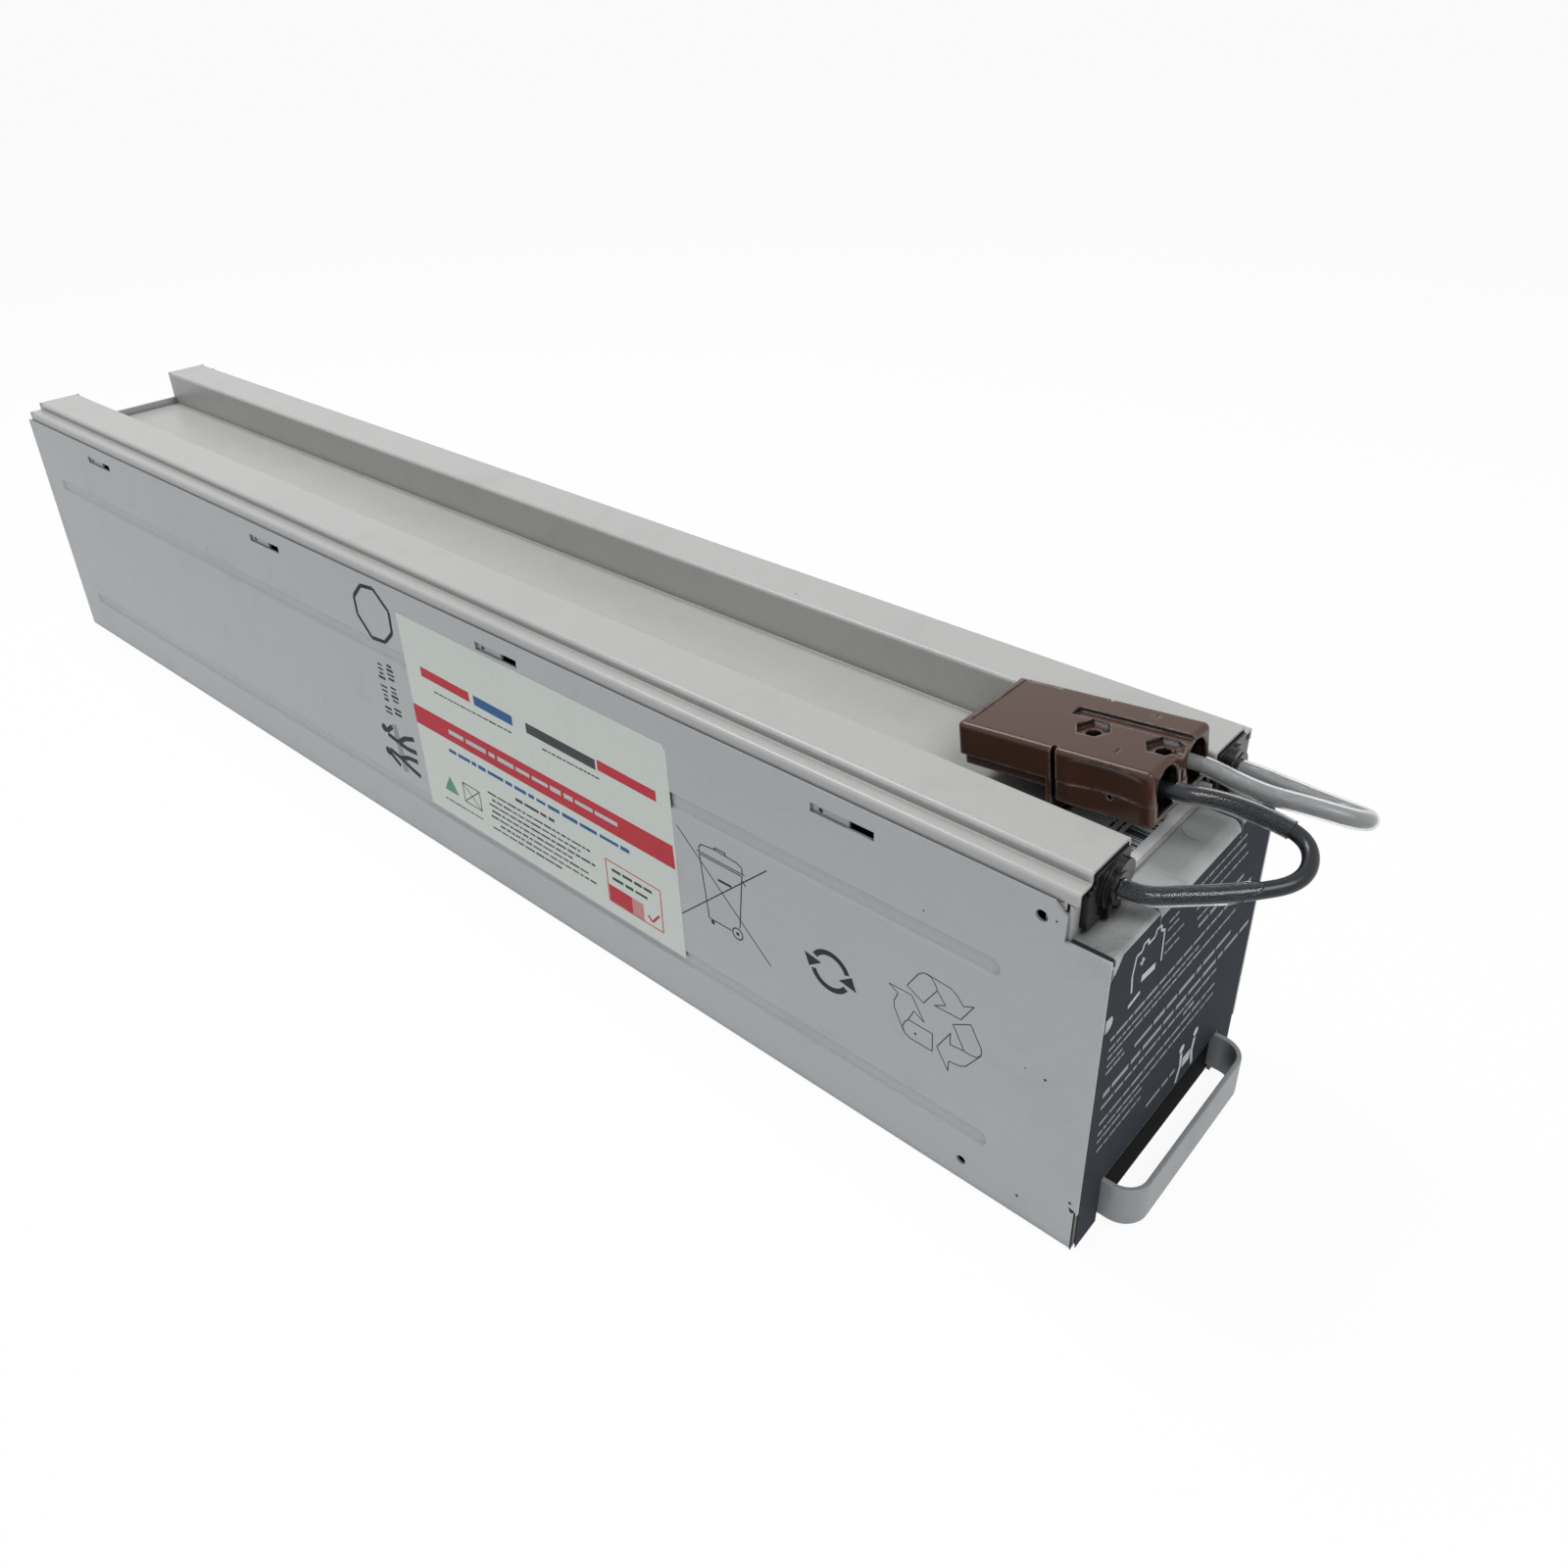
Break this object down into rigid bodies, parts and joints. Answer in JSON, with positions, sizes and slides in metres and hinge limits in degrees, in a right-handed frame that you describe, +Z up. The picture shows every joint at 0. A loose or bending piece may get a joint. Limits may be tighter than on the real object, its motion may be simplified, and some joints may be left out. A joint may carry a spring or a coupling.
{
  "type": "ups battery cartridge",
  "caption": "Long sheet metal battery cartridge with hollow top rails, a two-pole connector on looped leads, a front pull handle and printed papers",
  "frame": {"origin": "centre of the resting footprint of the case with its handle, on the underside of the pan", "axes": "+X to the right seen from the front with the handle, +Y to the rear along the length, +Z up"},
  "size_m": [0.0982, 0.6323, 0.1309],
  "materials": {
    "panel_paint": "smooth grey powder coat",
    "top_paint": "light warm grey coat",
    "handle_paint": "grey coat worn at the bends",
    "black_plastic": "matt black sheet",
    "liner_plastic": "thin white sheet",
    "battery_plastic": "dark grey moulded case",
    "tab_metal": "plated copper alloy",
    "foam": "soft closed cell foam",
    "black_rubber": "glossy black moulding",
    "brown_plastic": "semi gloss brown moulding",
    "black_cable": "black jacket",
    "grey_cable": "light grey jacket",
    "clear_sleeve": "clear tubing",
    "dark_paper": "charcoal printed label",
    "pale_paper": "pale printed sticker"
  },
  "bodies": {
    "root": {"case_pan": "panel_paint", "rear_wall": "panel_paint", "front_wall": "top_paint", "top_cover": "top_paint", "handle": "handle_paint", "notch_liner": "black_plastic", "bottom_liner": "liner_plastic", "battery_1": "battery_plastic", "battery_2": "battery_plastic", "battery_3": "battery_plastic", "battery_4": "battery_plastic", "battery_5": "battery_plastic", "battery_6": "battery_plastic", "battery_7": "battery_plastic", "battery_8": "battery_plastic", "battery_terminals": "tab_metal", "left_links": "tab_metal", "right_links": "tab_metal", "left_feed": "tab_metal", "return_strap": "tab_metal", "front_foam": "foam", "rear_foam": "foam", "left_grommet": "black_rubber", "right_grommet": "black_rubber", "connector_upper_shell": "brown_plastic", "connector_lower_shell": "brown_plastic", "connector_contacts": "tab_metal", "left_cable": "black_cable", "right_cable": "grey_cable", "left_sleeve": "clear_sleeve", "left_sleeve_end": "clear_sleeve", "right_sleeve": "clear_sleeve", "front_label": "dark_paper", "side_label": "pale_paper", "floor_sticker": "pale_paper"}
  },
  "joints": []
}
